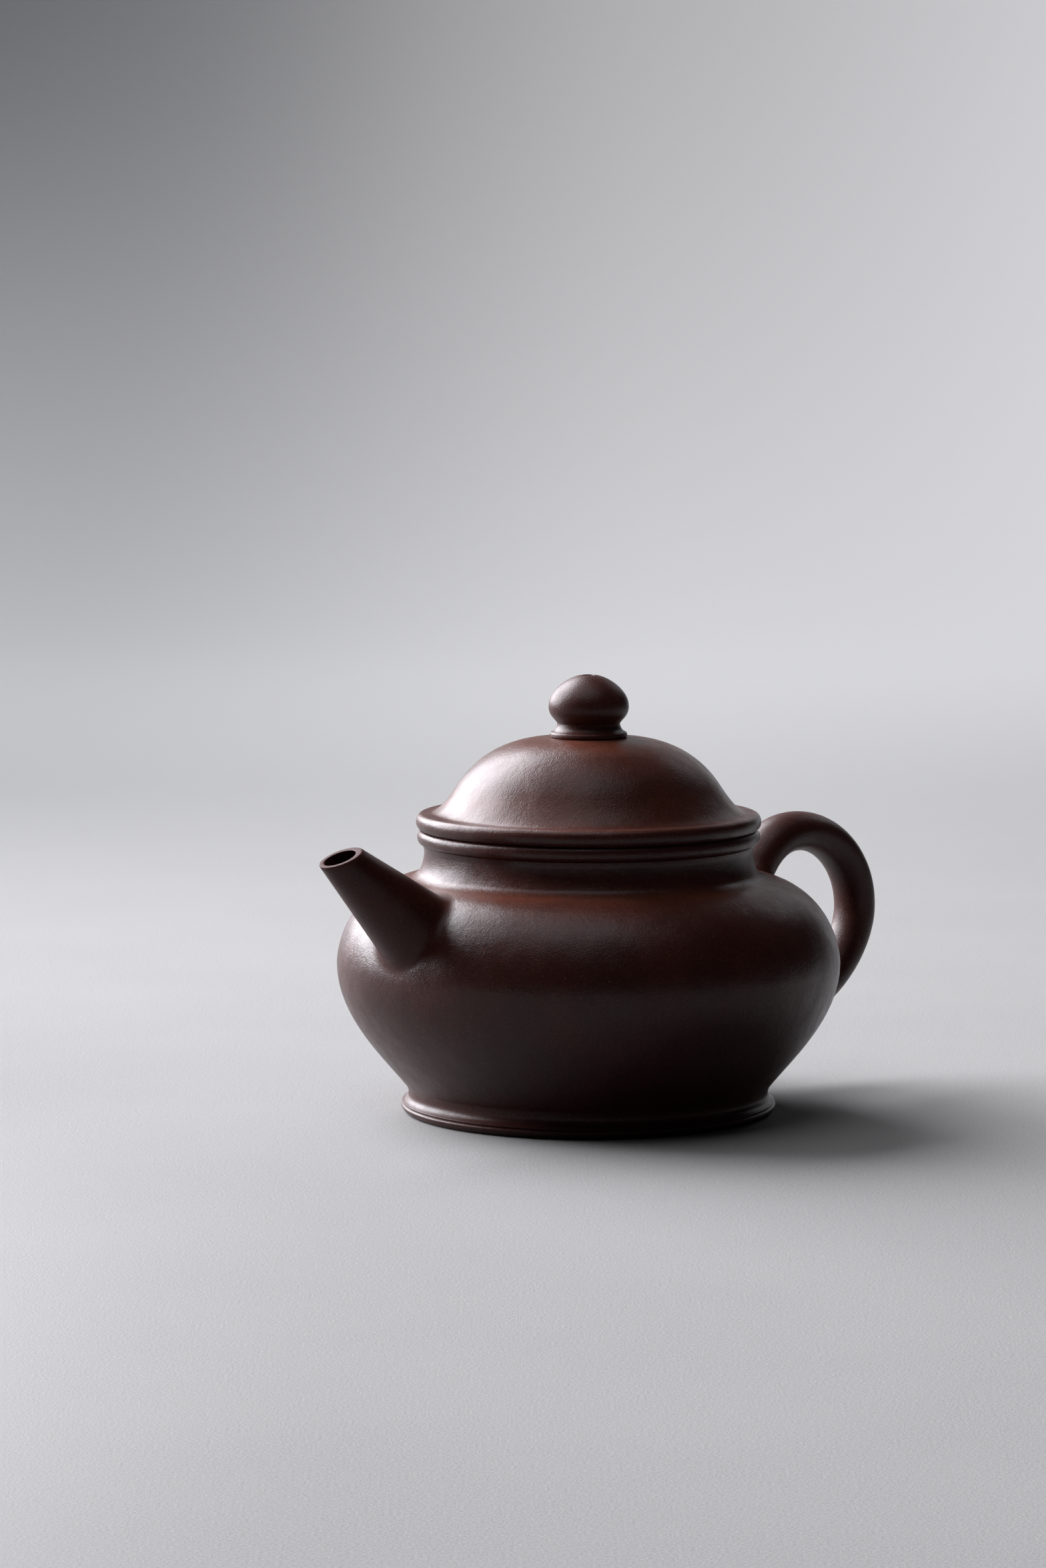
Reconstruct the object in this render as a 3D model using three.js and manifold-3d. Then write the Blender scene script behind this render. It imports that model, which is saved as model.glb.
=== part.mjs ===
// An unglazed stoneware teapot with a straight conical spout, an ear-shaped handle and a domed lid.
// Millimetres, +Z up. Each piece is made with the pot's turning axis on Z, the table at z = 0, the
// spout along -X and the handle along +X, and at the end all move along X until the origin is in the
// middle of the object's length. Every clay piece that the potter lutes to the next is its own solid.

import * as THREE from 'three';
import * as BufferGeometryUtils from 'three/addons/utils/BufferGeometryUtils.js';
import Module from 'manifold-3d';

// Foot ring and base plate
const footHeight = 1.8;
const footBandRadius = 33.1;
const footRestInset = 1.1;
const footRidgeHeight = 1.4;
const footRidgeStep = 0.25;
const footRingWidth = 4.6;
const baseThickness = 2.4;
const footCoveHeight = 1.9;
const waistInset = 1.35;

// Belly: a flared lower wall, the widest line and a shoulder that closes to the neck
const bodyWall = 2.6;
const bellyRadius = 44.35;
const bellyHeight = 22.2;
const waistFlareAngle = 53.9;
const waistFlareLength = 6.0;
const bellyLowerPullLength = 9.75;
const bellyUpperPullLength = 4.13;
const shoulderHeight = 15.2;
const shoulderSlope = 7;
const shoulderPullLength = 11;
const shoulderPlateThickness = 2.0;
const shoulderLap = 3.4;

// Neck, rim and mouth
const neckFootRadius = 30.4;
const neckRadius = 28.92;
const neckHeight = 5.75;
const neckCoveHeight = 2.0;
const neckTopFlare = 0.3;
const neckTopFlareHeight = 1.0;
const mouthRadius = 26.4;
const rimHeight = 2.55;
const rimBeadRadius = 30.15;
const rimLandRadius = 29.1;

// Lid
const lidPlay = 0.25;
const flangeThickness = 2.0;
const flangeDepth = 5.6;
const lidWall = 2.4;
const lidBeadHeight = 2.9;
const lidBeadRadius = 30.35;
const lidSkirtRadius = 27.9;
const domeFootRadius = 23.15;
const domeFootHeight = 4.8;
const domeFlareAngle = 57;
const domeHeight = 13.3;
const domeLowerPullLength = 1.8;
const domeUpperPullLength = 10.9;

// Knob and its air hole
const collarHeight = 2.5;
const collarBeadHeight = 1.0;
const collarBeadDepth = 0.25;
const collarRadius = 6.8;
const knobWaistRadius = 5.52;
const knobRadius = 7.06;
const knobLowerHeight = 3.0;
const knobUpperHeight = 5.5;
const knobWaistAngle = 60;
const knobWaistPullLength = 1.0;
const knobLowerPullLength = 1.7;
const knobUpperPullLength = 3.1;
const knobTopPullLength = 1.9;
const ventRadius = 1.0;

// Spout: a straight cone whose mouth is cut nearer to level than square
const spoutOverhang = 11.35;
const spoutMouthHeight = 48.8;
const spoutAngle = 39.5;
const spoutMouthAngle = 68.9;
const spoutTipRadius = 3.5;
const spoutFlare = 10.1;
const spoutTipWall = 0.75;
const spoutRootWall = 1.6;

// Strainer dome over the hole in the belly wall
const pourHoleRadius = 3.9;
const strainerRadius = 6.2;
const strainerWall = 1.2;
const strainerHoleRadius = 0.75;
const strainerRings = [[0, 1], [26, 6], [52, 12]];

// Handle: half thickness in its own plane and half width across it, at its two roots
const handleRootHeight = 35.5;
const handleRootDepth = 4.1;
const handleRise = 3.6;
const handleTopHeight = 46.0;
const handleTopOverhang = 5.25;
const handleOverhang = 20.52;
const handleOverhangHeight = 31.2;
const handleTopPullLength = 8.0;
const handleSidePullLength = 8.2;
const handleLowerPullLength = 10.15;
const handleEndHeight = 13.8;
const handleEndDepth = 3.1;
const handleEndAngle = 19.4;
const handleEndPullLength = 14.6;
const handleRootHalfThickness = 3.75;
const handleEndHalfThickness = 3.0;
const handleRootHalfWidth = 4.9;
const handleEndHalfWidth = 3.5;

// Clearance where a piece is cut to the curved wall that it is luted to
const luteGap = 0.3;

// Facets
const turnedSides = 40;
const knobSides = 24;
const spoutSides = 28;
const handleSides = 14;
const handleSteps = 22;
const curveSteps = 7;

const footRestRadius = footBandRadius - footRestInset;
const waistRadius = footBandRadius - waistInset;

// Heights of the stacked seams, each from the one below it
const baseZ = footHeight;
const wallZ = baseZ + baseThickness;
const bellyZ = wallZ + bellyHeight;
const neckZ = bellyZ + shoulderHeight;
const shoulderZ = neckZ - shoulderPlateThickness;
const rimZ = neckZ + neckHeight;
const seatZ = rimZ + rimHeight;
const lidPlateZ = seatZ + lidBeadHeight;
const domeFootZ = lidPlateZ + domeFootHeight;
const domeTopZ = lidPlateZ + domeHeight;
const knobZ = domeTopZ + collarHeight;
const knobWidestZ = knobZ + knobLowerHeight;
const knobTopZ = knobWidestZ + knobUpperHeight;

const wasm = await Module();
wasm.setup();

const radians = THREE.MathUtils.degToRad;

function point(radius, height) {
  return new THREE.Vector2(radius, height);
}

// A point at a distance and an angle, in degrees from the radial direction, from another point
function polar(from, angle, distance) {
  const turn = radians(angle);
  return point(from.x + distance * Math.cos(turn), from.y + distance * Math.sin(turn));
}

function cubic(start, startControl, endControl, end, steps = curveSteps) {
  return new THREE.CubicBezierCurve(start, startControl, endControl, end).getPoints(steps);
}

// Part of an ellipse about a centre, from one angle to another
function arc(centre, radialHalf, heightHalf, from, to, steps = 6) {
  const curve = new THREE.EllipseCurve(
    centre.x, centre.y, radialHalf, heightHalf, radians(from), radians(to), to < from
  );
  return curve.getPoints(steps);
}

// The outline shifted sideways: positive moves it outwards when it runs upwards
function shifted(outline, distance) {
  return outline.map((here, i) => {
    const before = outline[Math.max(i - 1, 0)];
    const after = outline[Math.min(i + 1, outline.length - 1)];
    const along = after.clone().sub(before).normalize();
    return point(here.x + along.y * distance, here.y - along.x * distance);
  });
}

// The stretch of an outline between two heights, with a point cut in at each
function between(outline, low, high) {
  const kept = [];
  outline.forEach((here, i) => {
    const before = outline[i - 1];
    for (const level of [low, high]) {
      if (before && (before.y - level) * (here.y - level) < 0) {
        kept.push(before.clone().lerp(here, (level - before.y) / (here.y - before.y)));
      }
    }
    if (here.y >= low && here.y <= high) {
      kept.push(here);
    }
  });
  return kept;
}

// The radius at which an outline crosses a height
function radiusAt(outline, height) {
  const i = outline.findIndex((p, n) => n > 0 && (outline[n - 1].y - height) * (p.y - height) <= 0);
  const share = (height - outline[i - 1].y) / (outline[i].y - outline[i - 1].y);
  return THREE.MathUtils.lerp(outline[i - 1].x, outline[i].x, share);
}

// A solid turned about Z from an outline that runs anticlockwise in radius and height
function turned(outline, sides = turnedSides) {
  const closed = [...outline];
  if (outline[0].x > 0) {
    closed.push(outline[0].clone());
  }
  return new THREE.LatheGeometry(closed, sides).rotateX(Math.PI / 2);
}

function toSolid(geometry) {
  const bare = geometry.clone();
  bare.deleteAttribute('normal');
  bare.deleteAttribute('uv');
  const merged = BufferGeometryUtils.mergeVertices(bare, 1e-4);
  return new wasm.Manifold(new wasm.Mesh({
    numProp: 3,
    vertProperties: new Float32Array(merged.attributes.position.array),
    triVerts: new Uint32Array(merged.index.array),
  }));
}

function toGeometry(solid) {
  const mesh = solid.getMesh();
  const geometry = new THREE.BufferGeometry();
  geometry.setAttribute('position', new THREE.BufferAttribute(mesh.vertProperties, 3));
  geometry.setIndex(new THREE.BufferAttribute(mesh.triVerts, 1));
  geometry.computeVertexNormals();
  return geometry;
}

// The outlines of the pot's outside, each from its foot upwards
const wallFoot = point(waistRadius, wallZ);
const widest = point(bellyRadius, bellyZ);
const neckFoot = point(neckFootRadius, neckZ);
const lowerBelly = cubic(
  wallFoot,
  polar(wallFoot, waistFlareAngle, waistFlareLength),
  point(bellyRadius, bellyZ - bellyLowerPullLength),
  widest
);
const upperBelly = cubic(
  widest,
  point(bellyRadius, bellyZ + bellyUpperPullLength),
  polar(neckFoot, -shoulderSlope, shoulderPullLength),
  neckFoot,
  9
);
const bellyOutside = [...lowerBelly, ...upperBelly.slice(1)];
const neckOutside = [
  ...new THREE.QuadraticBezierCurve(
    neckFoot,
    point(neckRadius, neckZ + neckCoveHeight),
    point(neckRadius, rimZ - neckTopFlareHeight)
  ).getPoints(5),
  point(neckRadius + neckTopFlare, rimZ),
];
const rimMiddle = point(rimLandRadius, rimZ + rimHeight / 2);
const rimOutside = arc(rimMiddle, rimBeadRadius - rimLandRadius, rimHeight / 2, -90, 90);

// The whole outside of the pot, filled in, grown by a distance
function potEnvelope(grow) {
  const side = shifted([...bellyOutside, ...neckOutside, ...rimOutside], grow);
  return toSolid(turned([point(0, side[0].y), ...side, point(0, side[side.length - 1].y)]));
}

// The space inside the belly, shrunk by a distance
const bellyInside = shifted(bellyOutside, -bodyWall);
const chamberRoof = point(radiusAt(bellyOutside, shoulderZ) - shoulderLap, shoulderZ);

function wallInside(shrink = 0) {
  const side = shifted(bellyInside, -shrink).filter((p) => p.x >= chamberRoof.x - shrink);
  return side.filter((p) => p.y > wallZ + shrink);
}

function chamber(shrink) {
  const side = wallInside(shrink);
  const first = side[0];
  const last = side[side.length - 1];
  return toSolid(turned([point(0, first.y), ...side, point(0, last.y)]));
}

// The frame of the spout: its axis runs out and up along -X
const spoutAxis = new THREE.Vector3(-Math.cos(radians(spoutAngle)), 0, Math.sin(radians(spoutAngle)));
const spoutReach = bellyRadius + spoutOverhang;
const spoutTip = new THREE.Vector3(-spoutReach, 0, spoutMouthHeight);

// A round cone on the spout's axis between two distances back from the tip
function spoutCone(tipRadius, flare, from, to, sides = spoutSides) {
  const length = to - from;
  const widening = Math.tan(radians(flare));
  const cone = new THREE.CylinderGeometry(
    tipRadius + from * widening, tipRadius + to * widening, length, sides
  );
  cone.applyQuaternion(new THREE.Quaternion().setFromUnitVectors(new THREE.Vector3(0, 1, 0), spoutAxis));
  const middle = spoutTip.clone().addScaledVector(spoutAxis, -(from + to) / 2);
  return toSolid(cone.translate(middle.x, middle.y, middle.z));
}

// The distance back from the tip at which the spout's axis meets an outline of the belly
function spoutDepthTo(outline) {
  const tipToPoint = outline.map((p) => {
    const along = (spoutReach - p.x) * Math.cos(radians(spoutAngle));
    return along + (spoutMouthHeight - p.y) * Math.sin(radians(spoutAngle));
  });
  const offAxis = outline.map((p) => {
    const across = (spoutReach - p.x) * Math.sin(radians(spoutAngle));
    return across - (spoutMouthHeight - p.y) * Math.cos(radians(spoutAngle));
  });
  for (let i = 1; i < outline.length; i += 1) {
    if (offAxis[i - 1] * offAxis[i] <= 0 && outline[i].x > neckFootRadius) {
      const share = offAxis[i - 1] / (offAxis[i - 1] - offAxis[i]);
      return THREE.MathUtils.lerp(tipToPoint[i - 1], tipToPoint[i], share);
    }
  }
  throw new Error('the spout misses the belly');
}

const spoutRootDepth = spoutDepthTo(bellyOutside);
const spoutWallDepth = spoutDepthTo(bellyInside);
const pastTheEnd = 10;

function makeFootRing() {
  return turned([
    point(footRestRadius - footRingWidth, 0),
    point(footRestRadius, 0),
    point(footBandRadius - footRidgeStep / 2, footRidgeHeight / 2),
    point(footBandRadius, footRidgeHeight),
    point(footBandRadius - footRidgeStep, footHeight),
    point(footRestRadius - footRingWidth, footHeight),
  ]);
}

function makeBasePlate() {
  const cove = new THREE.QuadraticBezierCurve(
    point(footBandRadius - footRidgeStep, baseZ),
    point(waistRadius, baseZ + footCoveHeight / 3),
    point(waistRadius, baseZ + footCoveHeight)
  );
  return turned([point(0, baseZ), ...cove.getPoints(4), point(waistRadius, wallZ), point(0, wallZ)]);
}

function makeBellyWall() {
  const outside = between(bellyOutside, wallZ, shoulderZ);
  const inside = [point(wallFoot.x - bodyWall, wallZ), ...wallInside(), chamberRoof];
  const wall = toSolid(turned([...outside, ...inside.reverse()]));
  const hole = spoutCone(pourHoleRadius, 0, spoutRootDepth - pastTheEnd, spoutWallDepth + pastTheEnd);
  return toGeometry(wall.subtract(hole));
}

function makeShoulderPlate() {
  const top = between(bellyOutside, shoulderZ, neckZ);
  return turned([point(mouthRadius, shoulderZ), ...top, point(mouthRadius, neckZ)]);
}

function makeNeckRing() {
  return turned([point(mouthRadius, neckZ), ...neckOutside, point(mouthRadius, rimZ)]);
}

function makeRimLip() {
  return turned([point(mouthRadius, rimZ), ...rimOutside, point(mouthRadius, seatZ)]);
}

function makeSpout() {
  const outside = spoutCone(spoutTipRadius, spoutFlare, -pastTheEnd / 2, spoutRootDepth + pastTheEnd);
  const boreTip = spoutTipRadius - spoutTipWall;
  const rootRadius = spoutTipRadius + spoutRootDepth * Math.tan(radians(spoutFlare)) - spoutRootWall;
  const boreFlare = THREE.MathUtils.radToDeg(Math.atan((rootRadius - boreTip) / spoutRootDepth));
  const bore = spoutCone(boreTip, boreFlare, -pastTheEnd, spoutRootDepth + pastTheEnd);
  const mouthNormal = new THREE.Vector3(
    -Math.cos(radians(spoutMouthAngle)), 0, Math.sin(radians(spoutMouthAngle))
  );
  const size = 4 * pastTheEnd;
  const cutter = new THREE.BoxGeometry(size, size, size);
  const tilt = new THREE.Quaternion().setFromUnitVectors(new THREE.Vector3(0, 0, 1), mouthNormal);
  cutter.applyQuaternion(tilt);
  const centre = spoutTip.clone().addScaledVector(mouthNormal, size / 2);
  cutter.translate(centre.x, centre.y, centre.z);
  const spout = outside.subtract(toSolid(cutter)).subtract(potEnvelope(luteGap)).subtract(bore);
  return toGeometry(spout);
}

// A domed sieve that faces into the pot, its edge following the wall
function makeStrainer() {
  const centre = spoutTip.clone().addScaledVector(spoutAxis, -spoutWallDepth);
  const inwards = spoutAxis.clone().negate();
  const ball = (radius) => {
    const sphere = new THREE.SphereGeometry(radius, 16, 10);
    return toSolid(sphere.translate(centre.x, centre.y, centre.z));
  };
  let dome = ball(strainerRadius).subtract(ball(strainerRadius - strainerWall));
  dome = dome.intersect(chamber(luteGap));
  const aim = new THREE.Quaternion().setFromUnitVectors(new THREE.Vector3(0, 1, 0), inwards);
  for (const [tilt, count] of strainerRings) {
    for (let i = 0; i < count; i += 1) {
      const drill = new THREE.CylinderGeometry(
        strainerHoleRadius, strainerHoleRadius, strainerRadius, 6
      );
      drill.translate(0, strainerRadius, 0);
      drill.rotateX(radians(tilt));
      drill.rotateY((2 * Math.PI * i) / count);
      drill.applyQuaternion(aim);
      dome = dome.subtract(toSolid(drill.translate(centre.x, centre.y, centre.z)));
    }
  }
  return toGeometry(dome);
}

// The handle's centreline in the XZ plane, from its upper root round to its lower one. Both ends lie
// inside the belly wall, so that the cut to the wall shapes the roots.
function handleCentreline() {
  const root = point(radiusAt(bellyOutside, handleRootHeight) - handleRootDepth, handleRootHeight);
  const top = point(bellyRadius + handleTopOverhang, handleTopHeight);
  const far = point(bellyRadius + handleOverhang, handleOverhangHeight);
  const end = point(radiusAt(bellyOutside, handleEndHeight) - handleEndDepth, handleEndHeight);
  const path = new THREE.CurvePath();
  path.add(new THREE.QuadraticBezierCurve(root, point(root.x + handleRise, top.y), top));
  path.add(new THREE.CubicBezierCurve(
    top,
    point(top.x + handleTopPullLength, top.y),
    point(far.x, far.y + handleSidePullLength),
    far
  ));
  path.add(new THREE.CubicBezierCurve(
    far,
    point(far.x, far.y - handleLowerPullLength),
    polar(end, -handleEndAngle, handleEndPullLength),
    end
  ));
  return path;
}

// A closed body through a row of rings that all have the same number of points
function lofted(rings) {
  const sides = rings[0].length;
  const positions = rings.flat().flatMap((p) => [p.x, p.y, p.z]);
  const faces = [];
  for (let i = 0; i + 1 < rings.length; i += 1) {
    for (let j = 0; j < sides; j += 1) {
      const a = i * sides + j;
      const b = i * sides + ((j + 1) % sides);
      faces.push(a, b + sides, b, a, a + sides, b + sides);
    }
  }
  const last = (rings.length - 1) * sides;
  for (let j = 1; j + 1 < sides; j += 1) {
    faces.push(0, j, j + 1);
    faces.push(last, last + j + 1, last + j);
  }
  const geometry = new THREE.BufferGeometry();
  geometry.setAttribute('position', new THREE.Float32BufferAttribute(positions, 3));
  geometry.setIndex(faces);
  return geometry;
}

function makeHandle() {
  const path = handleCentreline();
  const rings = [];
  for (let i = 0; i <= handleSteps; i += 1) {
    const share = i / handleSteps;
    const centre = path.getPointAt(share);
    const along = path.getTangentAt(share);
    const halfThickness = THREE.MathUtils.lerp(handleRootHalfThickness, handleEndHalfThickness, share);
    const halfWidth = THREE.MathUtils.lerp(handleRootHalfWidth, handleEndHalfWidth, share);
    const ring = [];
    for (let j = 0; j < handleSides; j += 1) {
      const turn = (2 * Math.PI * j) / handleSides;
      const out = halfThickness * Math.cos(turn);
      ring.push(new THREE.Vector3(
        centre.x - along.y * out, halfWidth * Math.sin(turn), centre.y + along.x * out
      ));
    }
    rings.push(ring);
  }
  return toGeometry(toSolid(lofted(rings)).subtract(potEnvelope(luteGap)));
}

// The lid's outlines, from the brim up to the knob
const flangeRadius = mouthRadius - lidPlay;
const flangeInside = flangeRadius - flangeThickness;
const domeFoot = point(domeFootRadius, domeFootZ);
const domeTop = point(collarRadius, domeTopZ);
const lidOutside = [
  ...new THREE.QuadraticBezierCurve(
    point(lidSkirtRadius, lidPlateZ),
    polar(domeFoot, -domeFlareAngle, domeFootHeight / Math.sin(radians(domeFlareAngle))),
    domeFoot
  ).getPoints(4),
  ...cubic(
    domeFoot,
    polar(domeFoot, 180 - domeFlareAngle, domeLowerPullLength),
    point(collarRadius + domeUpperPullLength, domeTopZ),
    domeTop
  ).slice(1),
];

function makeLidFlange() {
  return turned([
    point(flangeInside, seatZ - flangeDepth),
    point(flangeRadius, seatZ - flangeDepth),
    point(flangeRadius, seatZ),
    point(flangeInside, seatZ),
  ]);
}

function makeLidLip() {
  const middle = point(rimLandRadius, seatZ + lidBeadHeight / 2);
  const bead = arc(middle, lidBeadRadius - rimLandRadius, lidBeadHeight / 2, -90, 90);
  return turned([point(flangeInside, seatZ), ...bead, point(flangeInside, lidPlateZ)]);
}

function makeLidDome() {
  const inside = shifted(lidOutside, -lidWall).filter((p) => p.x < flangeInside && p.y > lidPlateZ);
  const roof = inside[inside.length - 1];
  return turned([
    ...lidOutside,
    point(ventRadius, domeTopZ),
    point(ventRadius, roof.y),
    ...inside.reverse(),
    point(flangeInside, lidPlateZ),
  ]);
}

function makeKnobCollar() {
  const beadRadius = collarRadius - collarBeadDepth;
  const beadCentre = point(beadRadius, domeTopZ + collarBeadHeight / 2);
  const bead = arc(beadCentre, collarBeadDepth, collarBeadHeight / 2, -90, 90, 4);
  const flare = new THREE.QuadraticBezierCurve(
    point(beadRadius, domeTopZ + collarBeadHeight),
    point(knobWaistRadius, (domeTopZ + collarBeadHeight + knobZ) / 2),
    point(knobWaistRadius, knobZ)
  );
  return turned([
    point(ventRadius, domeTopZ),
    ...bead,
    ...flare.getPoints(4).slice(1),
    point(ventRadius, knobZ),
  ], knobSides);
}

function makeKnob() {
  const waist = point(knobWaistRadius, knobZ);
  const widestRing = point(knobRadius, knobWidestZ);
  const lower = cubic(
    waist,
    polar(waist, knobWaistAngle, knobWaistPullLength),
    point(knobRadius, knobWidestZ - knobLowerPullLength),
    widestRing,
    4
  );
  const upper = cubic(
    widestRing,
    point(knobRadius, knobWidestZ + knobUpperPullLength),
    point(ventRadius + knobTopPullLength, knobTopZ),
    point(ventRadius, knobTopZ)
  );
  return turned([point(ventRadius, knobZ), ...lower, ...upper.slice(1)], knobSides);
}

function makePiece(name, geometry, colour, roughness) {
  const material = new THREE.MeshStandardMaterial({ color: colour, roughness, metalness: 0 });
  const mesh = new THREE.Mesh(geometry, material);
  mesh.name = name;
  return mesh;
}

const clay = 0x4a2a26;
const warmClay = 0x5a3028;
const burnishedClay = 0x44262a;

const pot = new THREE.Group();
pot.add(
  makePiece('foot_ring', makeFootRing(), clay, 0.55),
  makePiece('base_plate', makeBasePlate(), clay, 0.6),
  makePiece('belly_wall', makeBellyWall(), clay, 0.55),
  makePiece('shoulder_plate', makeShoulderPlate(), warmClay, 0.55),
  makePiece('neck_ring', makeNeckRing(), warmClay, 0.55),
  makePiece('rim_lip', makeRimLip(), clay, 0.5),
  makePiece('spout', makeSpout(), burnishedClay, 0.45),
  makePiece('strainer', makeStrainer(), clay, 0.65),
  makePiece('handle', makeHandle(), burnishedClay, 0.45)
);

const lid = new THREE.Group();
lid.add(
  makePiece('lid_flange', makeLidFlange(), clay, 0.55),
  makePiece('lid_lip', makeLidLip(), clay, 0.5),
  makePiece('lid_dome', makeLidDome(), warmClay, 0.55),
  makePiece('knob_collar', makeKnobCollar(), clay, 0.5),
  makePiece('knob', makeKnob(), burnishedClay, 0.45)
);

const group = new THREE.Group();
group.add(pot, lid);

const middle = new THREE.Box3().setFromObject(group).getCenter(new THREE.Vector3());
for (const piece of [...pot.children, ...lid.children]) {
  piece.geometry.translate(-middle.x, 0, 0);
}

export default group;
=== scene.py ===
"""A small unglazed stoneware teapot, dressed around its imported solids.

Sizes are in millimetres, and MM turns them into Blender's metres. Outlines are drawn in the plane
of radius and height. Each piece is made with the pot's turning axis on Z, the spout along -X and
the handle along +X, and then moved to where the frame has that axis.
"""

import math

import bpy
import numpy as np
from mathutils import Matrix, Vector


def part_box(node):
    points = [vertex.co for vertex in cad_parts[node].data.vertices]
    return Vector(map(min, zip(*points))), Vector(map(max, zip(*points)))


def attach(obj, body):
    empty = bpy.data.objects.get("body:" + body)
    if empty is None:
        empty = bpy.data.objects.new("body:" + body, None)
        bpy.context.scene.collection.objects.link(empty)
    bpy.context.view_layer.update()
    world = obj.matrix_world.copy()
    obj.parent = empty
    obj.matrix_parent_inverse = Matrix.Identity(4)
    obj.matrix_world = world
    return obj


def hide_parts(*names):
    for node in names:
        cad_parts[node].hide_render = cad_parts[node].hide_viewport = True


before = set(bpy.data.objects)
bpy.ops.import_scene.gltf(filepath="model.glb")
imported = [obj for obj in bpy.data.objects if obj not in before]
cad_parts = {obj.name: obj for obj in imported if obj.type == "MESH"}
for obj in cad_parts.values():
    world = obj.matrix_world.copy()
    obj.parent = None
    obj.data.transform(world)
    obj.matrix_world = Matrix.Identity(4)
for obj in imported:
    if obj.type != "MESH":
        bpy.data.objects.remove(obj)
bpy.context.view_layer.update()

MM = 0.001


# Sizes

def axis_place():
    """Where the frame has the turning axis: the middle of the foot ring."""
    low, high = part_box("foot_ring")
    return (low.x + high.x) / 2


AXIS_X = axis_place()

FOOT_REST_RADIUS = 32.0
FOOT_INNER_RADIUS = 27.4
FOOT_RIDGE_RADIUS = 33.1
FOOT_RIDGE_HEIGHT = 1.3
GROOVE_RADIUS = 32.68
GROOVE_HEIGHT = 1.62
COVE_EDGE_RADIUS = 32.95
COVE_EDGE_HEIGHT = 1.88
COVE_TOP_HEIGHT = 3.3
UNDERSIDE_RISE = 0.35

WAIST_RADIUS = 31.75
BODY_WALL = 2.6
FLOOR_CORNER_HEIGHT = 7.5
FLOOR_CORNER_REACH = 4.5
BELLY_RADIUS = 44.35
NECK_FOOT_RADIUS = 30.4
NECK_RADIUS = 28.92
MOUTH_RADIUS = 26.4
RIM_LAND_RADIUS = 29.1
RIM_BEAD_RADIUS = 30.15

LID_BEAD_RADIUS = 30.35
FLANGE_RADIUS = 26.15
FLANGE_INNER_RADIUS = 24.15
FLANGE_FOOT_HEIGHT = 44.3
LID_SKIRT_RADIUS = 27.9
LID_WALL = 2.4
DOME_FOOT_RADIUS = 23.15
COLLAR_RADIUS = 6.8
KNOB_WAIST_RADIUS = 5.52
KNOB_RADIUS = 7.06
VENT_RADIUS = 1.0

BASE_HEIGHT = 1.8
FLOOR_HEIGHT = 4.2
BELLY_HEIGHT = 26.4
SHOULDER_HEIGHT = 39.6
NECK_HEIGHT = 41.6
RIM_HEIGHT = 47.35
SEAT_HEIGHT = 49.9
LID_PLATE_HEIGHT = 52.8
DOME_FOOT_HEIGHT = 57.6
DOME_TOP_HEIGHT = 66.1
KNOB_HEIGHT = 68.6
KNOB_WIDEST_HEIGHT = 71.6
KNOB_TOP_HEIGHT = 77.08

SPOUT_TIP = Vector((-55.7, 0, 48.8))
SPOUT_ANGLE = 39.5
SPOUT_MOUTH_ANGLE = 68.9
SPOUT_TIP_RADIUS = 3.5
SPOUT_FLARE = 10.1
SPOUT_TIP_WALL = 0.95
SPOUT_BORE_FLARE = 7.7
SPOUT_LENGTH = 40
SPOUT_FILLET = 1.5
LIP_INNER_ROUNDING = 0.18
LIP_OUTER_ROUNDING = 0.22
LIP_OUTER_DROP = 0.26
LIP_INNER_DROP = 0.22

# the pouring hole, drilled along the spout, and the strainer over it, whose holes stand in rings:
# how far each ring is tilted from the dome's middle, and how many holes it has
POUR_HOLE_RADIUS = 3.9
POUR_DRILL_FROM_TIP = 22
POUR_DRILL_LENGTH = 24
STRAINER_RADIUS = 6.2
STRAINER_WALL = 1.2
STRAINER_SINK = 0.5
STRAINER_HOLE_RADIUS = 0.75
STRAINER_RINGS = ((0, 1), (26, 6), (52, 12))

HANDLE_ROOT_FILLET = 2.6
HANDLE_END_FILLET = 2.4
HANDLE_HALF_THICKNESS = (3.75, 3.0)
HANDLE_HALF_WIDTH = (4.9, 3.5)

# fillets where a tube meets the wall: the pull of their curve, the tread beyond their end, and how
# far their end, the tread and the last edge are from the wall's skin
FILLET_PULL = 0.62
FILLET_TREAD = 0.5
FILLET_LIFT = 0.004
TREAD_SINK = 0.015
SUNK_EDGE = 0.8
BORE_SINK = 0.6
SEAM_LAP = 0.2

POT_SIDES = 192
KNOB_SIDES = 96
SPOUT_SIDES = 128
HANDLE_SIDES = 72
STROKE_STEPS = 16
BORE_ROWS = 12
LIP_ROWS = 6
TUBE_ROWS = 24
HANDLE_ROWS = 100
FILLET_ROWS = 10


# Outlines: a stroke is a cubic curve of four points, and a number between two strokes rounds the
# corner between them over that reach

def at(radius, height):
    return Vector((radius, height))


def away(start, angle, length):
    turn = math.radians(angle)
    return start + Vector((math.cos(turn), math.sin(turn))) * length


def straight(start, end):
    return (start, start.lerp(end, 1 / 3), start.lerp(end, 2 / 3), end)


def bow(start, corner, end, pull=2 / 3):
    """A stroke bent towards a corner; a pull of 0.55 makes it a quarter of an ellipse."""
    return (start, start.lerp(corner, pull), end.lerp(corner, pull), end)


def cut(stroke, share):
    """A stroke's two parts, before and after a share of it."""
    a, b, c, d = stroke
    ab, bc, cd = a.lerp(b, share), b.lerp(c, share), c.lerp(d, share)
    abc, bcd = ab.lerp(bc, share), bc.lerp(cd, share)
    middle = abc.lerp(bcd, share)
    return (a, ab, abc, middle), (middle, bcd, cd, d)


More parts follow.
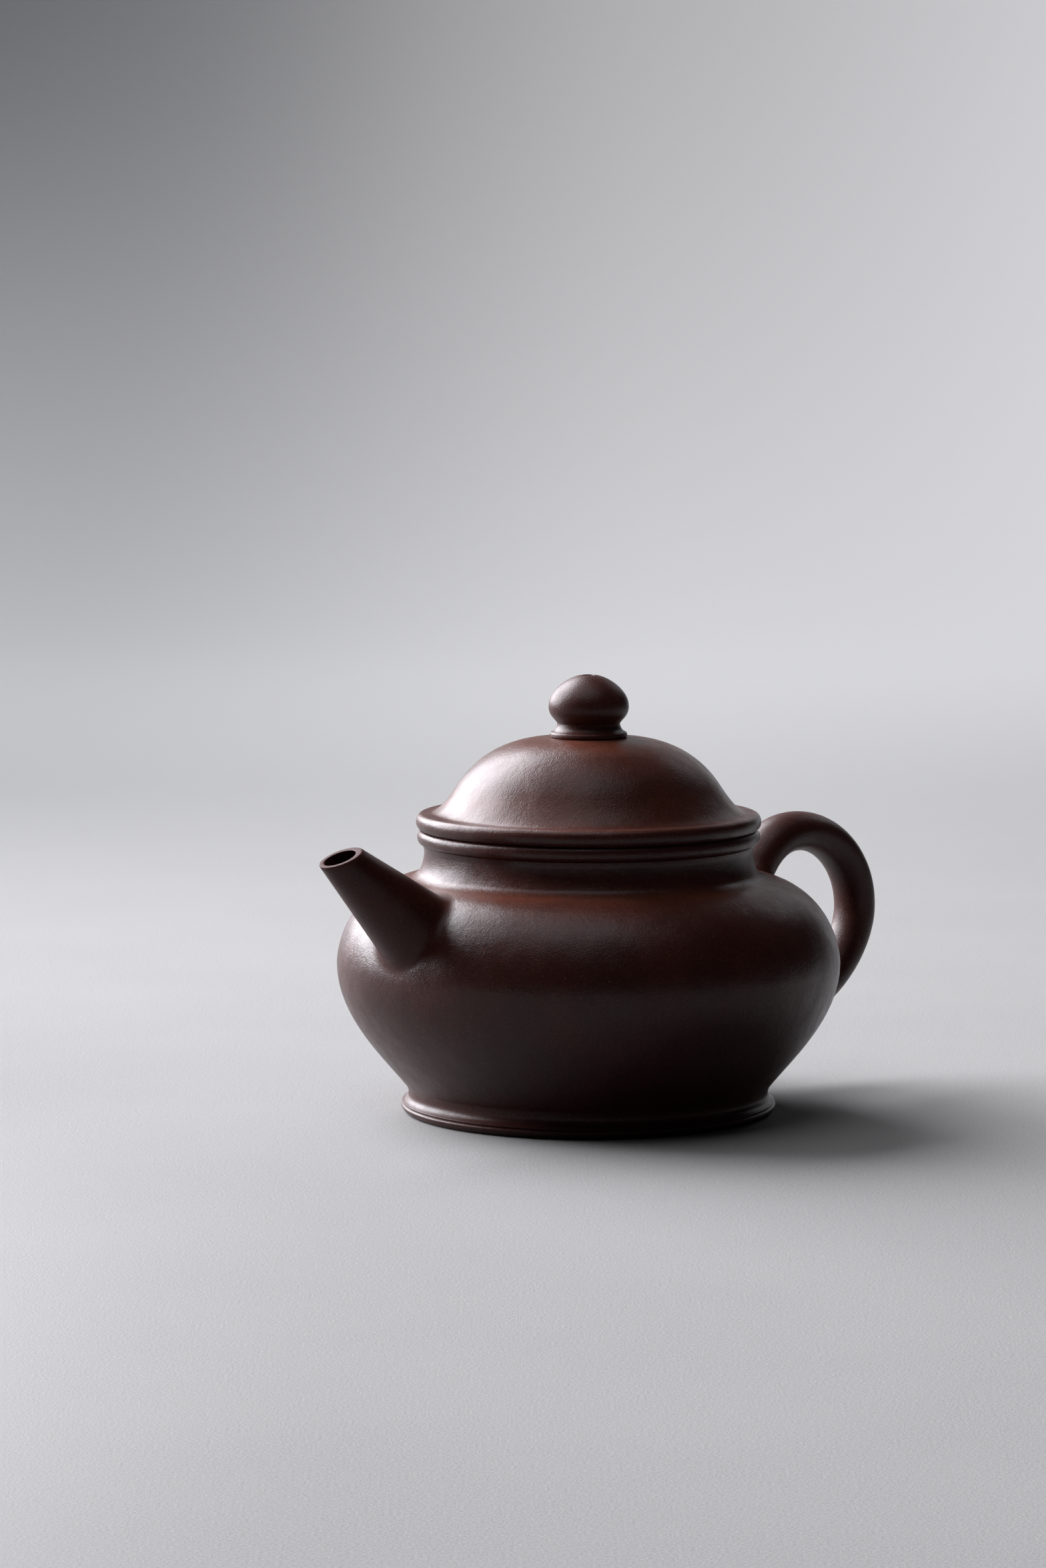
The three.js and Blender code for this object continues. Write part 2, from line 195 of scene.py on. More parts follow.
def share_where(stroke, passed):
    """The share of a stroke at which a condition turns true."""
    low, high = 0.0, 1.0
    for _ in range(40):
        middle = (low + high) / 2
        if passed(cut(stroke, middle)[0][3]):
            high = middle
        else:
            low = middle
    return high


def backwards(strokes):
    return [tuple(reversed(s)) for s in reversed(strokes)]


def rounded(path):
    """The strokes of a path, with its corners rounded over their reach."""
    strokes, reaches = [], []
    for item in path:
        if isinstance(item, tuple):
            strokes.append(item)
            reaches.append(0)
        else:
            reaches[-1] = item
    done = list(strokes)
    for i, reach in enumerate(reaches):
        if reach:
            j = (i + 1) % len(strokes)
            corner = strokes[i][3]
            share = share_where(done[i], lambda p: (p - corner).length < reach)
            done[i] = cut(done[i], share)[0]
            share = share_where(done[j], lambda p: (p - corner).length > reach)
            done[j] = cut(done[j], share)[1]
    made = []
    for i, reach in enumerate(reaches):
        made.append(done[i])
        if reach:
            start, end = done[i][3], done[(i + 1) % len(done)][0]
            leave = (start - done[i][2]).normalized()
            arrive = (end - done[(i + 1) % len(done)][1]).normalized()
            pull = 0.55 * reach
            made.append((start, start + leave * pull, end + arrive * pull, end))
    return made


def stretch(strokes, low, high):
    """The part of an outline that rises from one height to another."""
    kept = []
    for stroke in strokes:
        if stroke[3].y <= low + 1e-4 or stroke[0].y >= high - 1e-4:
            continue
        if stroke[0].y < low:
            stroke = cut(stroke, share_where(stroke, lambda p: p.y > low))[1]
        if stroke[3].y > high:
            stroke = cut(stroke, share_where(stroke, lambda p: p.y > high))[0]
        kept.append(stroke)
    return kept


def shifted(strokes, distance):
    """The outline moved to its left, seen along its direction."""
    made = []
    for stroke in strokes:
        for part in cut(stroke, 0.5):
            a, b, c, d = part
            leave, arrive = (b - a).normalized(), (d - c).normalized()
            start = a + Vector((-leave.y, leave.x)) * distance
            end = d + Vector((-arrive.y, arrive.x)) * distance
            ratio = (end - start).length / (d - a).length
            made.append((start, start + (b - a) * ratio, end + (c - d) * ratio, end))
    return made


def is_straight(stroke):
    a, b, c, d = stroke
    along = (d - a).normalized()
    return abs(along.cross(b - a)) < 1e-4 and abs(along.cross(c - a)) < 1e-4


# Modelling

def deselect():
    bpy.ops.object.select_all(action="DESELECT")


def edit(piece):
    deselect()
    piece.select_set(True)
    bpy.context.view_layer.objects.active = piece
    bpy.ops.object.mode_set(mode="EDIT")
    bpy.ops.mesh.select_all(action="SELECT")


def draw(name, strokes):
    """An outline as a curve object in the XZ plane."""
    deselect()
    bpy.ops.curve.primitive_bezier_curve_add()
    outline = bpy.context.object
    outline.name = name
    outline.data.name = name
    spline = outline.data.splines[0]
    closed = (strokes[-1][3] - strokes[0][0]).length < 1e-4
    count = len(strokes) + (0 if closed else 1)
    spline.bezier_points.add(count - 2)
    spline.use_cyclic_u = closed
    spline.resolution_u = STROKE_STEPS
    for i in range(count):
        before = strokes[i - 1] if i or closed else None
        after = strokes[i] if i < len(strokes) else None
        knot = spline.bezier_points[i]
        place = after[0] if after else before[3]
        left = before[2] if before else place
        right = after[1] if after else place
        knot.handle_left_type = "VECTOR" if before and is_straight(before) else "FREE"
        knot.handle_right_type = "VECTOR" if after and is_straight(after) else "FREE"
        knot.co = (place.x * MM, 0, place.y * MM)
        knot.handle_left = (left.x * MM, 0, left.y * MM)
        knot.handle_right = (right.x * MM, 0, right.y * MM)
    return outline


def spun(name, path, sides=POT_SIDES):
    """A piece turned about Z from its outline."""
    piece = draw(name, rounded(path))
    bpy.ops.object.convert(target="MESH")
    piece = bpy.context.object
    edit(piece)
    bpy.ops.mesh.spin(
        steps=sides, angle=math.tau, center=(0, 0, 0), axis=(0, 0, 1), use_auto_merge=True
    )
    bpy.ops.mesh.select_all(action="SELECT")
    bpy.ops.mesh.remove_doubles(threshold=1e-6)
    bpy.ops.mesh.normals_make_consistent(inside=False)
    bpy.ops.object.mode_set(mode="OBJECT")
    smooth(piece)
    return piece


def smooth(piece, angle=32):
    """Shades a piece smooth, apart from edges that turn by more than an angle."""
    deselect()
    piece.select_set(True)
    bpy.context.view_layer.objects.active = piece
    bpy.ops.object.shade_smooth_by_angle(angle=math.radians(angle))


def skinned(name, rows, ring_closed, lips=None):
    """A mesh through rows of points that go round, closed on itself or by a face at each end."""
    sides = len(rows[0])
    faces = []
    spans = len(rows) if ring_closed else len(rows) - 1
    for i in range(spans):
        here, there = i * sides, (i + 1) % len(rows) * sides
        for j in range(sides):
            k = (j + 1) % sides
            faces.append((here + j, here + k, there + k, there + j))
    if not ring_closed:
        faces.append(tuple(reversed(range(sides))))
        faces.append(tuple(range((len(rows) - 1) * sides, len(rows) * sides)))
    mesh = bpy.data.meshes.new(name)
    mesh.from_pydata([tuple(p * MM) for row in rows for p in row], [], faces)
    if lips:
        attribute = mesh.attributes.new("lip", "FLOAT", "POINT")
        attribute.data.foreach_set("value", np.repeat(lips, sides).astype(np.float32))
    piece = bpy.data.objects.new(name, mesh)
    bpy.context.scene.collection.objects.link(piece)
    edit(piece)
    bpy.ops.mesh.normals_make_consistent(inside=False)
    bpy.ops.object.mode_set(mode="OBJECT")
    smooth(piece, 40)
    return piece


def carve(piece, cutter):
    """Cuts one piece away from another."""
    deselect()
    piece.select_set(True)
    bpy.context.view_layer.objects.active = piece
    change = piece.modifiers.new("cut", "BOOLEAN")
    change.object = cutter
    change.operation = "DIFFERENCE"
    change.solver = "EXACT"
    bpy.ops.object.modifier_apply(modifier="cut")
    bpy.data.objects.remove(cutter)


def settle(piece, node, body, material):
    """Moves a finished piece to the frame's axis and lets it stand for its CAD node."""
    deselect()
    piece.select_set(True)
    bpy.context.view_layer.objects.active = piece
    piece.location.x += AXIS_X
    bpy.ops.object.transform_apply(location=True, rotation=True, scale=True)
    piece.data.materials.clear()
    piece.data.materials.append(material)
    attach(piece, body)
    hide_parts(node)


# The pot's outside, from the groove over the foot up to the rim

WAIST = at(WAIST_RADIUS, FLOOR_HEIGHT)
WIDEST = at(BELLY_RADIUS, BELLY_HEIGHT)
NECK_FOOT = at(NECK_FOOT_RADIUS, NECK_HEIGHT)

OUTSIDE = rounded([
    straight(at(GROOVE_RADIUS, GROOVE_HEIGHT), at(COVE_EDGE_RADIUS, COVE_EDGE_HEIGHT)), 0.13,
    bow(
        at(COVE_EDGE_RADIUS, COVE_EDGE_HEIGHT), at(31.8, 2.35), at(WAIST_RADIUS, COVE_TOP_HEIGHT)
    ),
    straight(at(WAIST_RADIUS, COVE_TOP_HEIGHT), WAIST), 0.85,
    (WAIST, away(WAIST, 53.9, 6.0), at(BELLY_RADIUS, BELLY_HEIGHT - 9.75), WIDEST),
    (WIDEST, at(BELLY_RADIUS, BELLY_HEIGHT + 4.13), away(NECK_FOOT, -7, 11), NECK_FOOT), 1.2,
    bow(NECK_FOOT, at(NECK_RADIUS, NECK_HEIGHT + 2), at(NECK_RADIUS, RIM_HEIGHT - 1)),
    straight(at(NECK_RADIUS, RIM_HEIGHT - 1), at(NECK_RADIUS + 0.3, RIM_HEIGHT)), 0.2,
    straight(at(NECK_RADIUS + 0.3, RIM_HEIGHT), at(NECK_RADIUS + 0.6, RIM_HEIGHT + 0.01)),
])

LID_OUTSIDE = [
    bow(
        at(LID_SKIRT_RADIUS, LID_PLATE_HEIGHT),
        away(at(DOME_FOOT_RADIUS, DOME_FOOT_HEIGHT), -57, 4.8 / math.sin(math.radians(57))),
        at(DOME_FOOT_RADIUS, DOME_FOOT_HEIGHT),
    ),
    (
        at(DOME_FOOT_RADIUS, DOME_FOOT_HEIGHT),
        away(at(DOME_FOOT_RADIUS, DOME_FOOT_HEIGHT), 123, 1.8),
        at(COLLAR_RADIUS + 10.9, DOME_TOP_HEIGHT),
        at(COLLAR_RADIUS, DOME_TOP_HEIGHT),
    ),
]


def outline_points(strokes, steps=60):
    shares = np.linspace(0, 1, steps, endpoint=False)[:, None]
    parts = []
    for a, b, c, d in strokes:
        a, b, c, d = (np.array(p) for p in (a, b, c, d))
        parts.append(
            (1 - shares) ** 3 * a + 3 * (1 - shares) ** 2 * shares * b
            + 3 * (1 - shares) * shares ** 2 * c + shares ** 3 * d
        )
    parts.append(np.array(strokes[-1][3])[None])
    return np.vstack(parts)


WALL_POINTS = outline_points(OUTSIDE)


def wall_under(place):
    """How far a place is outside the pot's wall, the nearest place on the wall and its normal."""
    radius = math.hypot(place.x, place.y)
    here = np.array((radius, place.z))
    starts, ends = WALL_POINTS[:-1], WALL_POINTS[1:]
    along = ends - starts
    share = np.clip(((here - starts) * along).sum(1) / (along ** 2).sum(1), 0, 1)
    near = starts + along * share[:, None]
    i = int(((near - here) ** 2).sum(1).argmin())
    slope = along[i] / np.linalg.norm(along[i])
    flat_normal = np.array((slope[1], -slope[0]))
    gap = float((here - near[i]) @ flat_normal)
    out = Vector((place.x, place.y, 0)).normalized()
    foot = out * near[i][0] + Vector((0, 0, near[i][1]))
    normal = out * flat_normal[0] + Vector((0, 0, flat_normal[1]))
    return gap, foot, normal


def meeting(column, inside, outside, skin=0.0):
    """Where a tube's column comes out of the wall, or of a skin under it, between two places."""
    for _ in range(32):
        middle = (inside + outside) / 2
        if wall_under(column(middle))[0] < skin:
            inside = middle
        else:
            outside = middle
    return outside


def root_rows(column, outward, meet, step, reach):
    """The fillet from a tube's column down to the wall, its edge tucked under the wall's skin."""
    joint = column(meet)
    share = meet
    while (column(share) - joint).length < reach:
        share += step
    start = column(share)
    arrive = (start - column(share + step)).normalized()
    normal = wall_under(joint)[2]
    along = (outward - normal * outward.dot(normal)).normalized()
    _, end, end_normal = wall_under(joint + along * reach)
    along = (along - end_normal * along.dot(end_normal)).normalized()
    points = []
    pull = reach * FILLET_PULL
    a, b, c, d = start, start + arrive * pull, end - along * pull, end
    for i in range(FILLET_ROWS + 1):
        t = i / FILLET_ROWS
        points.append(
            a * (1 - t) ** 3 + b * (3 * (1 - t) ** 2 * t) + c * (3 * (1 - t) * t * t) + d * t ** 3
        )
    _, under, under_normal = wall_under(end + along * FILLET_TREAD)
    points[-1] = points[-1] + end_normal * FILLET_LIFT
    points.append(under - under_normal * TREAD_SINK)
    points.append(under - under_normal * SUNK_EDGE)
    return share, points


# Pieces

def make_foot():
    return spun("foot", [
        straight(at(FOOT_INNER_RADIUS, 0), at(FOOT_REST_RADIUS, 0)), 0.3,
        bow(
            at(FOOT_REST_RADIUS, 0), at(32.95, 0.5), at(FOOT_RIDGE_RADIUS, FOOT_RIDGE_HEIGHT)
        ), 0.22,
        straight(at(FOOT_RIDGE_RADIUS, FOOT_RIDGE_HEIGHT), at(GROOVE_RADIUS, GROOVE_HEIGHT)),
        straight(at(GROOVE_RADIUS, GROOVE_HEIGHT), at(32.3, BASE_HEIGHT)),
        straight(at(32.3, BASE_HEIGHT), at(26.6, BASE_HEIGHT + 0.02)),
        bow(at(26.6, BASE_HEIGHT + 0.02), at(27.4, 1.7), at(FOOT_INNER_RADIUS, 0.8)),
        straight(at(FOOT_INNER_RADIUS, 0.8), at(FOOT_INNER_RADIUS, 0)), 0.35,
    ])


def make_base():
    edge = stretch(OUTSIDE, 0, FLOOR_HEIGHT)
    seam = edge[-1][3]
    risen = BASE_HEIGHT + UNDERSIDE_RISE
    return spun("base", [
        bow(at(0, risen), at(18, risen), at(28, BASE_HEIGHT)),
        straight(at(28, BASE_HEIGHT), at(32.2, BASE_HEIGHT)),
        straight(at(32.2, BASE_HEIGHT), edge[0][0]),
        *edge,
        straight(seam, at(0, FLOOR_HEIGHT)),
    ])


def make_belly():
    outer = stretch(OUTSIDE, FLOOR_HEIGHT, SHOULDER_HEIGHT)
    inner = shifted(stretch(OUTSIDE, 5.5, SHOULDER_HEIGHT + 1.5), BODY_WALL)
    inner = stretch(inner, FLOOR_CORNER_HEIGHT, SHOULDER_HEIGHT)
    corner = inner[0][0]
    inset = corner.x - FLOOR_CORNER_REACH
    seam = outer[0][0]
    under = FLOOR_HEIGHT - SEAM_LAP
    belly = spun("belly", [
        *outer,
        straight(outer[-1][3], inner[-1][3]),
        *backwards(inner),
        bow(corner, at(corner.x - 2.5, FLOOR_HEIGHT + 0.1), at(inset, FLOOR_HEIGHT + 0.02)),
        straight(at(inset, FLOOR_HEIGHT + 0.02), at(inset, under)),
        straight(at(inset, under), at(seam.x - 1, under)),
        straight(at(seam.x - 1, under), seam),
    ])
    deselect()
    bpy.ops.mesh.primitive_cylinder_add(
        vertices=64, radius=POUR_HOLE_RADIUS * MM, depth=POUR_DRILL_LENGTH * MM
    )
    drill = bpy.context.object
    drill.rotation_euler = spout_axis().to_track_quat("Z", "Y").to_euler()
    drill.location = (SPOUT_TIP - spout_axis() * POUR_DRILL_FROM_TIP) * MM
    carve(belly, drill)
    smooth(belly)
    return belly


def make_shoulder():
    outer = stretch(OUTSIDE, SHOULDER_HEIGHT, NECK_HEIGHT)
    return spun("shoulder", [
        *outer,
        straight(outer[-1][3], at(MOUTH_RADIUS, NECK_HEIGHT)),
        straight(at(MOUTH_RADIUS, NECK_HEIGHT), at(MOUTH_RADIUS, SHOULDER_HEIGHT)), 0.7,
        straight(at(MOUTH_RADIUS, SHOULDER_HEIGHT), outer[0][0]),
    ])


def make_neck():
    outer = stretch(OUTSIDE, NECK_HEIGHT, RIM_HEIGHT)
    return spun("neck", [
        *outer,
        straight(outer[-1][3], at(MOUTH_RADIUS, RIM_HEIGHT)),
        straight(at(MOUTH_RADIUS, RIM_HEIGHT), at(MOUTH_RADIUS, NECK_HEIGHT)),
        straight(at(MOUTH_RADIUS, NECK_HEIGHT), outer[0][0]),
    ])


def bead(land, reach, low, high, pull=0.6):
    """The half round edge of a ring, from its lower side to its upper one."""
    middle = (low + high) / 2
    return [
        bow(at(land, low), at(reach, low), at(reach, middle), pull),
        bow(at(reach, middle), at(reach, high), at(land, high), pull),
    ]


def make_rim():
    return spun("rim", [
        *bead(RIM_LAND_RADIUS, RIM_BEAD_RADIUS, RIM_HEIGHT, SEAT_HEIGHT),
        straight(at(RIM_LAND_RADIUS, SEAT_HEIGHT), at(MOUTH_RADIUS, SEAT_HEIGHT)), 0.25,
        straight(at(MOUTH_RADIUS, SEAT_HEIGHT), at(MOUTH_RADIUS, RIM_HEIGHT)),
        straight(at(MOUTH_RADIUS, RIM_HEIGHT), at(RIM_LAND_RADIUS, RIM_HEIGHT)),
    ])


def make_flange():
    inner_foot = at(FLANGE_INNER_RADIUS, FLANGE_FOOT_HEIGHT)
    outer_foot = at(FLANGE_RADIUS, FLANGE_FOOT_HEIGHT)
    return spun("flange", [
        straight(inner_foot, outer_foot), 0.55,
        straight(outer_foot, at(FLANGE_RADIUS, SEAT_HEIGHT)),
        straight(at(FLANGE_RADIUS, SEAT_HEIGHT), at(FLANGE_INNER_RADIUS, SEAT_HEIGHT)),
        straight(at(FLANGE_INNER_RADIUS, SEAT_HEIGHT), inner_foot), 0.7,
    ])


def make_brim():
    return spun("brim", [
        straight(at(FLANGE_INNER_RADIUS, SEAT_HEIGHT), at(RIM_LAND_RADIUS, SEAT_HEIGHT)),
        *bead(RIM_LAND_RADIUS, LID_BEAD_RADIUS, SEAT_HEIGHT, LID_PLATE_HEIGHT),
        straight(at(RIM_LAND_RADIUS, LID_PLATE_HEIGHT), at(FLANGE_INNER_RADIUS, LID_PLATE_HEIGHT)),
        straight(at(FLANGE_INNER_RADIUS, LID_PLATE_HEIGHT), at(FLANGE_INNER_RADIUS, SEAT_HEIGHT)),
    ])


def make_dome():
    inner = shifted(LID_OUTSIDE, LID_WALL)
    roof = inner[-1][3]
    inner = stretch(inner, LID_PLATE_HEIGHT + 2.6, roof.y)
    flange_top = at(FLANGE_INNER_RADIUS, LID_PLATE_HEIGHT)
    return spun("dome", [
        *LID_OUTSIDE,
        straight(at(COLLAR_RADIUS, DOME_TOP_HEIGHT), at(VENT_RADIUS, DOME_TOP_HEIGHT)),
        straight(at(VENT_RADIUS, DOME_TOP_HEIGHT), at(VENT_RADIUS, roof.y)), 0.3,
        straight(at(VENT_RADIUS, roof.y), roof),
        *backwards(inner),
        bow(inner[0][0], at(FLANGE_INNER_RADIUS, LID_PLATE_HEIGHT + 1.5), flange_top),
        straight(flange_top, at(LID_SKIRT_RADIUS, LID_PLATE_HEIGHT)),
    ])


def make_collar():
    low, high = DOME_TOP_HEIGHT, DOME_TOP_HEIGHT + 1.0
    widest = at(COLLAR_RADIUS, low + 0.45)
    bead_top = at(6.52, high)
    waist = at(KNOB_WAIST_RADIUS, KNOB_HEIGHT)
    return spun("collar", [
        bow(at(6.5, low), at(COLLAR_RADIUS, low + 0.05), widest, 0.6),
        bow(widest, at(COLLAR_RADIUS, high - 0.1), bead_top, 0.6), 0.12,
        bow(bead_top, at(KNOB_WAIST_RADIUS + 0.1, high + 0.35), waist),
        straight(waist, at(VENT_RADIUS, KNOB_HEIGHT)),
        straight(at(VENT_RADIUS, KNOB_HEIGHT), at(VENT_RADIUS, low)),
        straight(at(VENT_RADIUS, low), at(6.5, low)),
    ], KNOB_SIDES)


def make_knob():
    waist = at(KNOB_WAIST_RADIUS, KNOB_HEIGHT)
    widest = at(KNOB_RADIUS, KNOB_WIDEST_HEIGHT)
    top = at(VENT_RADIUS, KNOB_TOP_HEIGHT)
    return spun("knob_ball", [
        (waist, away(waist, 60, 1.0), at(KNOB_RADIUS, KNOB_WIDEST_HEIGHT - 1.7), widest),
        (
            widest, at(KNOB_RADIUS, KNOB_WIDEST_HEIGHT + 3.1),
            at(VENT_RADIUS + 1.9, KNOB_TOP_HEIGHT), top,
        ), 0.3,
        straight(top, at(VENT_RADIUS, KNOB_HEIGHT)),
        straight(at(VENT_RADIUS, KNOB_HEIGHT), waist),
    ], KNOB_SIDES)


def spout_axis():
    turn = math.radians(SPOUT_ANGLE)
    return Vector((-math.cos(turn), 0, math.sin(turn)))


def corner_rows(start, corner, end):
    """Points that round a corner, without the first one."""
    shares = [i / LIP_ROWS for i in range(1, LIP_ROWS + 1)]
    return [start * (1 - t) ** 2 + corner * (2 * t * (1 - t)) + end * t * t for t in shares]


def make_spout():
    axis = spout_axis()
    side = Vector((0, 1, 0))
    up = side.cross(axis)
    turn = math.radians(SPOUT_MOUTH_ANGLE)
    mouth = Vector((-math.cos(turn), 0, math.sin(turn)))

    def cone(tip_radius, flare):
        """A cone's surface by depth from the tip, and the depth at which the mouth cuts it."""
        widening = math.tan(math.radians(flare))

        def place(depth, out):
            return SPOUT_TIP - axis * depth + out * (tip_radius + depth * widening)

        def mouth_depth(out):
            return tip_radius * out.dot(mouth) / (axis.dot(mouth) - widening * out.dot(mouth))

        return place, mouth_depth

    outer, outer_mouth = cone(SPOUT_TIP_RADIUS, SPOUT_FLARE)
    bore, bore_mouth = cone(SPOUT_TIP_RADIUS - SPOUT_TIP_WALL, SPOUT_BORE_FLARE)
    lines = []
    for j in range(SPOUT_SIDES):
        turn = math.tau * j / SPOUT_SIDES
        out = side * math.cos(turn) + up * math.sin(turn)

        # up the bore, from under the wall's skin to the mouth
        start = meeting(lambda depth: bore(depth, out), SPOUT_LENGTH, 8.0, -BORE_SINK)
        end = bore_mouth(out) + LIP_INNER_DROP
        line = [bore(start + (end - start) * i / BORE_ROWS, out) for i in range(BORE_ROWS + 1)]

        # over the lip
        inner_edge = bore(bore_mouth(out), out)
        outer_edge = outer(outer_mouth(out), out)
        across = (outer_edge - inner_edge).normalized()
        line.extend(corner_rows(line[-1], inner_edge, inner_edge + across * LIP_INNER_ROUNDING))
        line.append(outer_edge - across * LIP_OUTER_ROUNDING)
        top = outer_mouth(out) + LIP_OUTER_DROP
        line.extend(corner_rows(line[-1], outer_edge, outer(top, out)))

        # down the outside and into the wall
        column = lambda climb: outer(SPOUT_LENGTH - climb, out)
        meet = meeting(column, 5.0, 30.0)
        climb, fillet = root_rows(column, out, meet, step=0.02, reach=SPOUT_FILLET)
        bottom = SPOUT_LENGTH - climb
        for i in range(1, TUBE_ROWS):
            line.append(outer(top + (bottom - top) * i / TUBE_ROWS, out))
        line.extend(fillet)
        lines.append(line)
    rows = list(zip(*lines))
    lips = [0] * (BORE_ROWS + 1) + [1] * (2 * LIP_ROWS + 1)
    lips += [0] * (len(rows) - len(lips))
    return skinned("spout_tube", rows, True, lips)


def make_strainer():
    axis = spout_axis()
    depth = 8.0
    while wall_under(SPOUT_TIP - axis * depth)[0] > -BODY_WALL:
        depth += 0.01
    centre = SPOUT_TIP - axis * depth
    deselect()
    bpy.ops.mesh.primitive_uv_sphere_add(segments=64, ring_count=48, radius=STRAINER_RADIUS * MM)
    dome = bpy.context.object
    dome.name = "sieve"
    edit(dome)
    bpy.ops.mesh.bisect(
        plane_co=(0, 0, -STRAINER_SINK * MM), plane_no=(0, 0, 1), clear_inner=True
    )
    bpy.ops.object.mode_set(mode="OBJECT")
    thick = dome.modifiers.new("wall", "SOLIDIFY")
    thick.thickness = STRAINER_WALL * MM
    thick.offset = -1
    bpy.ops.object.modifier_apply(modifier="wall")
    drills = []
    for tilt, count in STRAINER_RINGS:
        for i in range(count):
            deselect()
            bpy.ops.mesh.primitive_cylinder_add(
                vertices=20, radius=STRAINER_HOLE_RADIUS * MM, depth=3 * MM
            )
            drill = bpy.context.object
            turn, lean = math.tau * i / count, math.radians(tilt)
            flat = math.sin(lean)
            out = Vector((flat * math.cos(turn), flat * math.sin(turn), math.cos(lean)))
            drill.rotation_euler = out.to_track_quat("Z", "Y").to_euler()
            drill.location = out * (STRAINER_RADIUS - STRAINER_WALL / 2) * MM
            drills.append(drill)
    deselect()
    for drill in drills:
        drill.select_set(True)
    bpy.context.view_layer.objects.active = drills[0]
    bpy.ops.object.join()
    carve(dome, bpy.context.object)
    dome.rotation_euler = (-axis).to_track_quat("Z", "Y").to_euler()
    dome.location = centre * MM
    smooth(dome, 35)
    return dome


def length_table(strokes, steps=200):
    """Points along strokes, and the share of the whole length at each."""
    points = [outline_points([stroke], steps) for stroke in strokes]
    path = np.vstack([p[:-1] for p in points] + [points[-1][-1:]])
    steps_long = np.linalg.norm(np.diff(path, axis=0), axis=1)
    lengths = np.concatenate([[0], np.cumsum(steps_long)])
    return path, lengths / lengths[-1]


def make_handle():
    root = at(37.0, 35.5)
    top = at(49.6, 46.0)
    far = at(64.75, 31.2)
    end = at(36.43, 13.81)
    path, shares = length_table([
        bow(root, at(root.x + 3.6, top.y), top),
        (top, at(top.x + 8.0, top.y), at(far.x, far.y + 8.2), far),
        (far, at(far.x, far.y - 10.15), away(end, -19.36, 14.61), end),
    ])
    start_way = (path[1] - path[0]) / (shares[1] - shares[0])
    end_way = (path[-1] - path[-2]) / (shares[-1] - shares[-2])

    def centre(share):
        if share < 0:
            x, z = path[0] + start_way * share
        elif share > 1:
            x, z = path[-1] + end_way * (share - 1)
        else:
            x, z = np.interp(share, shares, path[:, 0]), np.interp(share, shares, path[:, 1])
        return Vector((x, 0, z))

    def place(share, turn):
        """A place on the handle's oval section, and the way out of it."""
        along = (centre(share + 0.004) - centre(share - 0.004)).normalized()
        across = Vector((-along.z, 0, along.x))
        thick = np.interp(share, (0, 1), HANDLE_HALF_THICKNESS)
        wide = np.interp(share, (0, 1), HANDLE_HALF_WIDTH)
        out = across * (thick * math.cos(turn)) + Vector((0, wide * math.sin(turn), 0))
        normal = across * (math.cos(turn) / thick) + Vector((0, math.sin(turn) / wide, 0))
        return centre(share) + out, normal.normalized()

    lines = []
    for j in range(HANDLE_SIDES):
        turn = math.tau * j / HANDLE_SIDES
        upper = lambda share: place(share, turn)[0]
        lower = lambda share: place(1 - share, turn)[0]
        meet = meeting(upper, 0.0, 0.2)
        first, upper_fillet = root_rows(
            upper, place(meet, turn)[1], meet, step=0.0004, reach=HANDLE_ROOT_FILLET
        )
        meet = meeting(lower, 0.0, 0.2)
        last, lower_fillet = root_rows(
            lower, place(1 - meet, turn)[1], meet, step=0.0004, reach=HANDLE_END_FILLET
        )
        between = [
            upper(first + (1 - last - first) * i / HANDLE_ROWS) for i in range(1, HANDLE_ROWS)
        ]
        lines.append([*reversed(upper_fillet), *between, *lower_fillet])
    return skinned("handle_loop", list(zip(*lines)), False)


# Materials: patterns are laid out in millimetres around the turning axis

